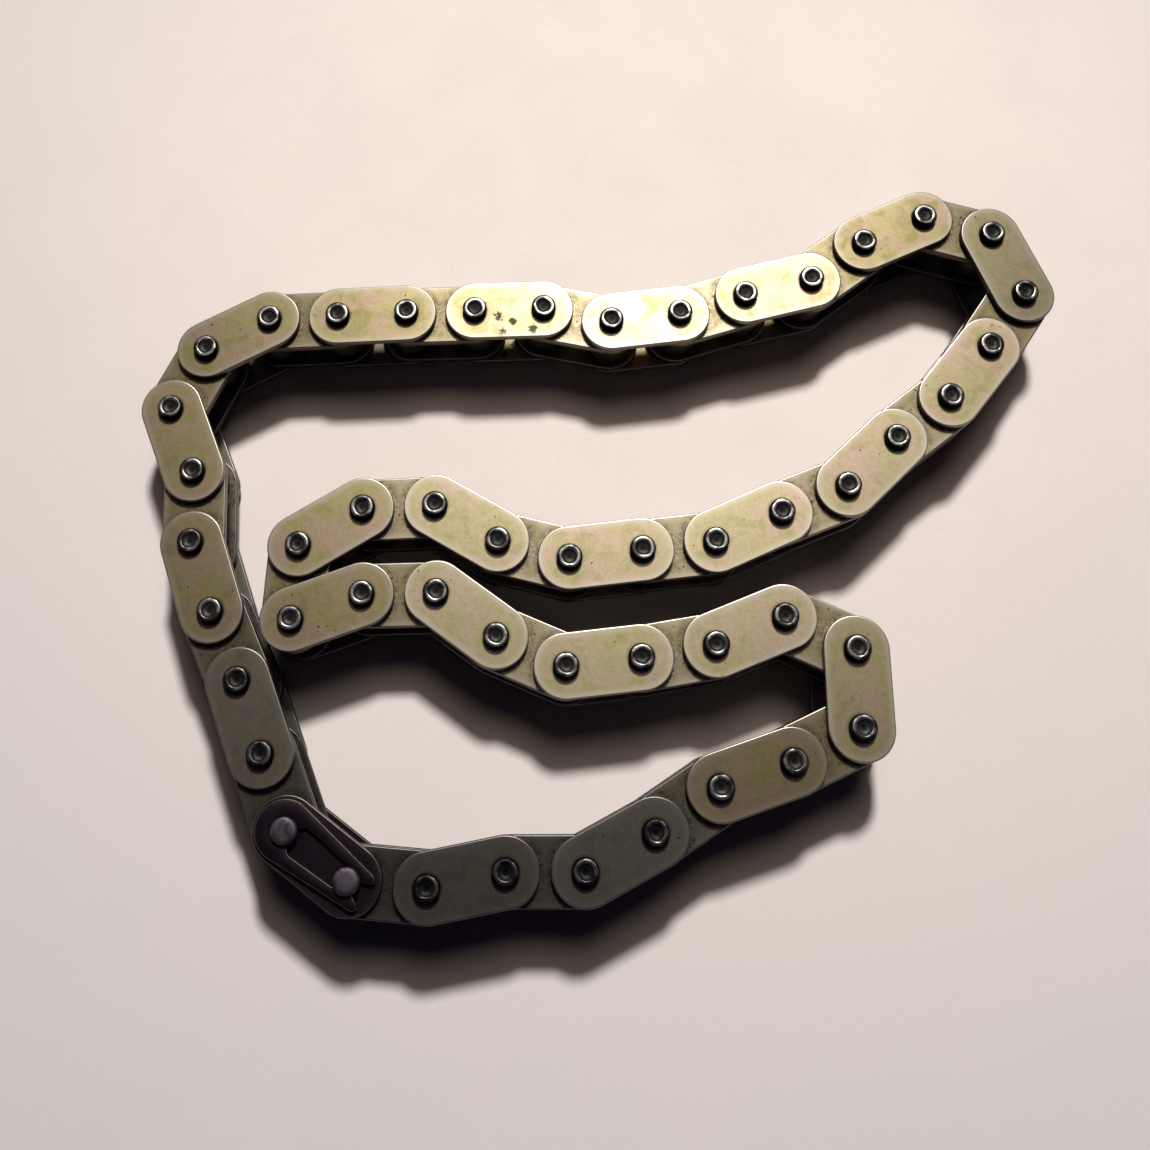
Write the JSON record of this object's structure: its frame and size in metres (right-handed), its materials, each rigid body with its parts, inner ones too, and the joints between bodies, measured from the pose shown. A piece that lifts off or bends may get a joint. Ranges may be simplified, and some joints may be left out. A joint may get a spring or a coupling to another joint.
{
  "type": "cam chain",
  "caption": "Endless bush roller chain for driving a camshaft, closed by a connecting link with a spring clip, lying on its side as a loose loop.",
  "frame": {"origin": "middle of the loop's box seen from above, in the plane of the lower pin ends, on which the chain lies", "axes": "+Z along the pins towards the clip's side, +X along the loop's longest extent, +Y away from the picture's camera"},
  "size_m": [0.126, 0.0888, 0.0134],
  "materials": {
    "outer_steel": "tarnished satin",
    "inner_steel": "oiled satin",
    "hard_steel": "polished",
    "dark_steel": "dark satin"
  },
  "bodies": {
    "link_01": {"outer_link_01": "outer_steel"},
    "link_02": {"inner_link_02": "inner_steel"},
    "link_03": {"outer_link_03": "outer_steel"},
    "link_04": {"inner_link_04": "inner_steel"},
    "link_05": {"outer_link_05": "outer_steel"},
    "link_06": {"inner_link_06": "inner_steel"},
    "link_07": {"outer_link_07": "outer_steel"},
    "link_08": {"inner_link_08": "inner_steel"},
    "link_09": {"outer_link_09": "outer_steel"},
    "link_10": {"inner_link_10": "inner_steel"},
    "link_11": {"outer_link_11": "outer_steel"},
    "link_12": {"inner_link_12": "inner_steel"},
    "link_13": {"outer_link_13": "outer_steel"},
    "link_14": {"inner_link_14": "inner_steel"},
    "link_15": {"outer_link_15": "outer_steel"},
    "link_16": {"inner_link_16": "inner_steel"},
    "link_17": {"outer_link_17": "outer_steel"},
    "link_18": {"inner_link_18": "inner_steel"},
    "link_19": {"outer_link_19": "outer_steel"},
    "link_20": {"inner_link_20": "inner_steel"},
    "link_21": {"outer_link_21": "outer_steel"},
    "link_22": {"inner_link_22": "inner_steel"},
    "link_23": {"outer_link_23": "outer_steel"},
    "link_24": {"inner_link_24": "inner_steel"},
    "link_25": {"outer_link_25": "outer_steel"},
    "link_26": {"inner_link_26": "inner_steel"},
    "link_27": {"outer_link_27": "outer_steel"},
    "link_28": {"inner_link_28": "inner_steel"},
    "link_29": {"outer_link_29": "outer_steel"},
    "link_30": {"inner_link_30": "inner_steel"},
    "link_31": {"outer_link_31": "outer_steel"},
    "link_32": {"inner_link_32": "inner_steel"},
    "link_33": {"outer_link_33": "outer_steel"},
    "link_34": {"inner_link_34": "inner_steel"},
    "link_35": {"outer_link_35": "outer_steel"},
    "link_36": {"inner_link_36": "inner_steel"},
    "link_37": {"outer_link_37": "outer_steel"},
    "link_38": {"inner_link_38": "inner_steel"},
    "link_39": {"outer_link_39": "outer_steel"},
    "link_40": {"inner_link_40": "inner_steel"},
    "link_41": {"outer_plate_upper": "outer_steel", "outer_plate_lower": "outer_steel", "rivet_pins": "hard_steel"},
    "link_42": {"inner_plate_upper": "inner_steel", "inner_plate_lower": "inner_steel", "bush_a": "hard_steel", "bush_b": "hard_steel"},
    "link_43": {"connecting_back_plate": "dark_steel", "connecting_pins": "dark_steel", "connecting_cover_plate": "dark_steel", "spring_clip": "dark_steel"},
    "link_44": {"inner_link_44": "inner_steel"},
    "link_45": {"outer_link_45": "outer_steel"},
    "link_46": {"inner_link_46": "inner_steel"},
    "link_47": {"outer_link_47": "outer_steel"},
    "link_48": {"inner_link_48": "inner_steel"},
    "link_49": {"outer_link_49": "outer_steel"},
    "link_50": {"inner_link_50": "inner_steel"},
    "roller_a": {"roller_a": "hard_steel"},
    "roller_b": {"roller_b": "hard_steel"}
  },
  "joints": [
    {"name": "pin_19", "type": "hinge", "parent": "link_18", "child": "link_19", "pos_m": [0.02074, 0.00053, 0.00647], "axis": [0, 0, 1], "range_deg": [-30, 60]},
    {"name": "pin_20", "type": "hinge", "parent": "link_19", "child": "link_20", "pos_m": [0.01168, -0.00242, 0.00647], "axis": [0, 0, 1], "range_deg": [-60, 30]},
    {"name": "pin_21", "type": "hinge", "parent": "link_20", "child": "link_21", "pos_m": [0.00216, -0.00258, 0.00647], "axis": [0, 0, 1], "range_deg": [-20, 60]},
    {"name": "pin_22", "type": "hinge", "parent": "link_21", "child": "link_22", "pos_m": [-0.00737, -0.00275, 0.00647], "axis": [0, 0, 1], "range_deg": [-60, 20]},
    {"name": "pin_23", "type": "hinge", "parent": "link_22", "child": "link_23", "pos_m": [-0.01637, 0.00035, 0.00647], "axis": [0, 0, 1], "range_deg": [-50, 2]},
    {"name": "pin_24", "type": "hinge", "parent": "link_23", "child": "link_24", "pos_m": [-0.02418, 0.00582, 0.00647], "axis": [0, 0, 1], "range_deg": [-2, 50]},
    {"name": "pin_25", "type": "hinge", "parent": "link_24", "child": "link_25", "pos_m": [-0.03369, 0.00632, 0.00647], "axis": [0, 0, 1], "range_deg": [-2, 60]},
    {"name": "pin_26", "type": "hinge", "parent": "link_25", "child": "link_26", "pos_m": [-0.0423, 0.00226, 0.00647], "axis": [0, 0, 1], "range_deg": [-60, 2]},
    {"name": "pin_27", "type": "hinge", "parent": "link_26", "child": "link_27", "pos_m": [-0.04363, -0.00718, 0.00647], "axis": [0, 0, 1], "range_deg": [-50, 2]},
    {"name": "pin_28", "type": "hinge", "parent": "link_27", "child": "link_28", "pos_m": [-0.03439, -0.00487, 0.00647], "axis": [0, 0, 1], "range_deg": [-2, 50]},
    {"name": "pin_29", "type": "hinge", "parent": "link_28", "child": "link_29", "pos_m": [-0.02489, -0.00554, 0.00647], "axis": [0, 0, 1], "range_deg": [-60, 20]},
    {"name": "pin_30", "type": "hinge", "parent": "link_29", "child": "link_30", "pos_m": [-0.0177, -0.01179, 0.00647], "axis": [0, 0, 1], "range_deg": [-20, 60]},
    {"name": "pin_31", "type": "hinge", "parent": "link_30", "child": "link_31", "pos_m": [-0.00929, -0.01626, 0.00647], "axis": [0, 0, -1], "range_deg": [-10, 50]},
    {"name": "pin_32", "type": "hinge", "parent": "link_31", "child": "link_32", "pos_m": [0.00024, -0.01609, 0.00647], "axis": [0, 0, -1], "range_deg": [-50, 10]},
    {"name": "pin_33", "type": "hinge", "parent": "link_32", "child": "link_33", "pos_m": [0.00974, -0.01543, 0.00647], "axis": [0, 0, 1], "range_deg": [-50, 2]},
    {"name": "pin_34", "type": "hinge", "parent": "link_33", "child": "link_34", "pos_m": [0.01889, -0.0128, 0.00647], "axis": [0, 0, 1], "range_deg": [-2, 50]},
    {"name": "pin_35", "type": "hinge", "parent": "link_34", "child": "link_35", "pos_m": [0.02714, -0.01756, 0.00647], "axis": [0, 0, 1], "range_deg": [-50, 2]},
    {"name": "pin_36", "type": "hinge", "parent": "link_35", "child": "link_36", "pos_m": [0.02603, -0.02702, 0.00647], "axis": [0, 0, 1], "range_deg": [-2, 50]},
    {"name": "pin_37", "type": "hinge", "parent": "link_36", "child": "link_37", "pos_m": [0.01702, -0.03012, 0.00647], "axis": [0, 0, -1], "range_deg": [-10, 50]},
    {"name": "pin_38", "type": "hinge", "parent": "link_37", "child": "link_38", "pos_m": [0.00774, -0.03227, 0.00647], "axis": [0, 0, -1], "range_deg": [-50, 10]},
    {"name": "pin_39", "type": "hinge", "parent": "link_38", "child": "link_39", "pos_m": [-0.00075, -0.03659, 0.00647], "axis": [0, 0, -1], "range_deg": [-15, 20]},
    {"name": "pin_40", "type": "hinge", "parent": "link_39", "child": "link_40", "pos_m": [-0.00958, -0.04016, 0.00647], "axis": [0, 0, -1], "range_deg": [-20, 15]},
    {"name": "pin_41", "type": "hinge", "parent": "link_40", "child": "link_41", "pos_m": [-0.01907, -0.03933, 0.00647], "axis": [0, 0, 1], "range_deg": [-50, 2]},
    {"name": "pin_42", "type": "hinge", "parent": "link_41", "child": "link_42", "pos_m": [-0.02855, -0.04026, 0.00647], "axis": [0, 0, 1], "range_deg": [-2, 50]},
    {"name": "pin_18", "type": "hinge", "parent": "link_18", "child": "link_17", "pos_m": [0.02989, 0.00315, 0.00647], "axis": [0, 0, 1], "range_deg": [-2, 60]},
    {"name": "pin_17", "type": "hinge", "parent": "link_17", "child": "link_16", "pos_m": [0.0375, 0.00889, 0.00647], "axis": [0, 0, 1], "range_deg": [-60, 2]},
    {"name": "pin_16", "type": "hinge", "parent": "link_16", "child": "link_15", "pos_m": [0.04567, 0.01379, 0.00647], "axis": [0, 0, -1], "range_deg": [-10, 50]},
    {"name": "pin_15", "type": "hinge", "parent": "link_15", "child": "link_14", "pos_m": [0.05253, 0.02039, 0.00647], "axis": [0, 0, -1], "range_deg": [-50, 10]},
    {"name": "pin_14", "type": "hinge", "parent": "link_14", "child": "link_13", "pos_m": [0.05889, 0.02749, 0.00647], "axis": [0, 0, -1], "range_deg": [-60, 30]},
    {"name": "pin_13", "type": "hinge", "parent": "link_13", "child": "link_12", "pos_m": [0.05642, 0.03669, 0.00647], "axis": [0, 0, -1], "range_deg": [-30, 60]},
    {"name": "pin_12", "type": "hinge", "parent": "link_12", "child": "link_11", "pos_m": [0.0476, 0.04026, 0.00647], "axis": [0, 0, 1], "range_deg": [-30, 60]},
    {"name": "pin_11", "type": "hinge", "parent": "link_11", "child": "link_10", "pos_m": [0.03854, 0.03732, 0.00647], "axis": [0, 0, 1], "range_deg": [-60, 30]},
    {"name": "pin_10", "type": "hinge", "parent": "link_10", "child": "link_09", "pos_m": [0.03029, 0.03256, 0.00647], "axis": [0, 0, 1], "range_deg": [-2, 60]},
    {"name": "pin_09", "type": "hinge", "parent": "link_09", "child": "link_08", "pos_m": [0.02086, 0.03123, 0.00647], "axis": [0, 0, 1], "range_deg": [-60, 2]},
    {"name": "pin_08", "type": "hinge", "parent": "link_08", "child": "link_07", "pos_m": [0.01151, 0.02941, 0.00647], "axis": [0, 0, 1], "range_deg": [-20, 60]},
    {"name": "pin_07", "type": "hinge", "parent": "link_07", "child": "link_06", "pos_m": [0.00198, 0.02925, 0.00647], "axis": [0, 0, 1], "range_deg": [-60, 20]},
    {"name": "pin_06", "type": "hinge", "parent": "link_06", "child": "link_05", "pos_m": [-0.00713, 0.03203, 0.00647], "axis": [0, 0, 1], "range_deg": [-2, 60]},
    {"name": "pin_05", "type": "hinge", "parent": "link_05", "child": "link_04", "pos_m": [-0.01663, 0.0327, 0.00647], "axis": [0, 0, 1], "range_deg": [-60, 2]},
    {"name": "pin_04", "type": "hinge", "parent": "link_04", "child": "link_03", "pos_m": [-0.02613, 0.03336, 0.00647], "axis": [0, 0, -1], "range_deg": [-10, 50]},
    {"name": "pin_03", "type": "hinge", "parent": "link_03", "child": "link_02", "pos_m": [-0.03564, 0.03386, 0.00647], "axis": [0, 0, -1], "range_deg": [-50, 10]},
    {"name": "pin_02", "type": "hinge", "parent": "link_02", "child": "link_01", "pos_m": [-0.04515, 0.03436, 0.00647], "axis": [0, 0, -1], "range_deg": [-15, 20]},
    {"name": "pin_01", "type": "hinge", "parent": "link_01", "child": "link_50", "pos_m": [-0.05398, 0.03079, 0.00647], "axis": [0, 0, -1], "range_deg": [-20, 15]},
    {"name": "pin_50", "type": "hinge", "parent": "link_50", "child": "link_49", "pos_m": [-0.05889, 0.02263, 0.00647], "axis": [0, 0, -1], "range_deg": [-10, 50]},
    {"name": "pin_49", "type": "hinge", "parent": "link_49", "child": "link_48", "pos_m": [-0.056, 0.01355, 0.00647], "axis": [0, 0, -1], "range_deg": [-50, 10]},
    {"name": "pin_48", "type": "hinge", "parent": "link_48", "child": "link_47", "pos_m": [-0.05633, 0.00403, 0.00647], "axis": [0, 0, -1], "range_deg": [-60, 30]},
    {"name": "pin_47", "type": "hinge", "parent": "link_47", "child": "link_46", "pos_m": [-0.05387, -0.00517, 0.00647], "axis": [0, 0, -1], "range_deg": [-30, 60]},
    {"name": "pin_46", "type": "hinge", "parent": "link_46", "child": "link_45", "pos_m": [-0.05061, -0.01412, 0.00647], "axis": [0, 0, 1], "range_deg": [-2, 60]},
    {"name": "pin_45", "type": "hinge", "parent": "link_45", "child": "link_44", "pos_m": [-0.0479, -0.02325, 0.00647], "axis": [0, 0, 1], "range_deg": [-60, 2]},
    {"name": "pin_44", "type": "hinge", "parent": "link_44", "child": "link_43", "pos_m": [-0.04512, -0.03236, 0.00647], "axis": [0, 0, 1], "range_deg": [-60, 20]},
    {"name": "roller_a_spin", "type": "hinge", "parent": "link_42", "child": "roller_a", "pos_m": [-0.02855, -0.04026, 0.00647], "axis": [0, 0, 1], "continuous": true},
    {"name": "roller_b_spin", "type": "hinge", "parent": "link_42", "child": "roller_b", "pos_m": [-0.03793, -0.03861, 0.00647], "axis": [0, 0, 1], "continuous": true}
  ],
  "couplings": [
    {"joint": "pin_20", "follows": "pin_19", "ratio": -1},
    {"joint": "pin_22", "follows": "pin_21", "ratio": -1},
    {"joint": "pin_23", "follows": "pin_34", "ratio": -1},
    {"joint": "pin_24", "follows": "pin_34", "ratio": 1},
    {"joint": "pin_25", "follows": "pin_45", "ratio": -1},
    {"joint": "pin_26", "follows": "pin_45", "ratio": 1},
    {"joint": "pin_27", "follows": "pin_34", "ratio": -1},
    {"joint": "pin_28", "follows": "pin_34", "ratio": 1},
    {"joint": "pin_29", "follows": "pin_44", "ratio": 1},
    {"joint": "pin_30", "follows": "pin_44", "ratio": -1},
    {"joint": "pin_31", "follows": "pin_38", "ratio": -1},
    {"joint": "pin_32", "follows": "pin_38", "ratio": 1},
    {"joint": "pin_33", "follows": "pin_34", "ratio": -1},
    {"joint": "pin_35", "follows": "pin_34", "ratio": -1},
    {"joint": "pin_36", "follows": "pin_34", "ratio": 1},
    {"joint": "pin_37", "follows": "pin_38", "ratio": -1},
    {"joint": "pin_39", "follows": "pin_40", "ratio": -1},
    {"joint": "pin_41", "follows": "pin_34", "ratio": -1},
    {"joint": "pin_42", "follows": "pin_34", "ratio": 1},
    {"joint": "pin_18", "follows": "pin_45", "ratio": -1},
    {"joint": "pin_17", "follows": "pin_45", "ratio": 1},
    {"joint": "pin_16", "follows": "pin_38", "ratio": -1},
    {"joint": "pin_15", "follows": "pin_38", "ratio": 1},
    {"joint": "pin_14", "follows": "pin_47", "ratio": -1},
    {"joint": "pin_13", "follows": "pin_47", "ratio": 1},
    {"joint": "pin_12", "follows": "pin_19", "ratio": 1},
    {"joint": "pin_11", "follows": "pin_19", "ratio": -1},
    {"joint": "pin_10", "follows": "pin_45", "ratio": -1},
    {"joint": "pin_09", "follows": "pin_45", "ratio": 1},
    {"joint": "pin_08", "follows": "pin_21", "ratio": 1},
    {"joint": "pin_07", "follows": "pin_21", "ratio": -1},
    {"joint": "pin_06", "follows": "pin_45", "ratio": -1},
    {"joint": "pin_05", "follows": "pin_45", "ratio": 1},
    {"joint": "pin_04", "follows": "pin_38", "ratio": -1},
    {"joint": "pin_03", "follows": "pin_38", "ratio": 1},
    {"joint": "pin_02", "follows": "pin_40", "ratio": -1},
    {"joint": "pin_01", "follows": "pin_40", "ratio": 1},
    {"joint": "pin_50", "follows": "pin_38", "ratio": -1},
    {"joint": "pin_49", "follows": "pin_38", "ratio": 1},
    {"joint": "pin_48", "follows": "pin_47", "ratio": -1},
    {"joint": "pin_46", "follows": "pin_45", "ratio": -1}
  ]
}
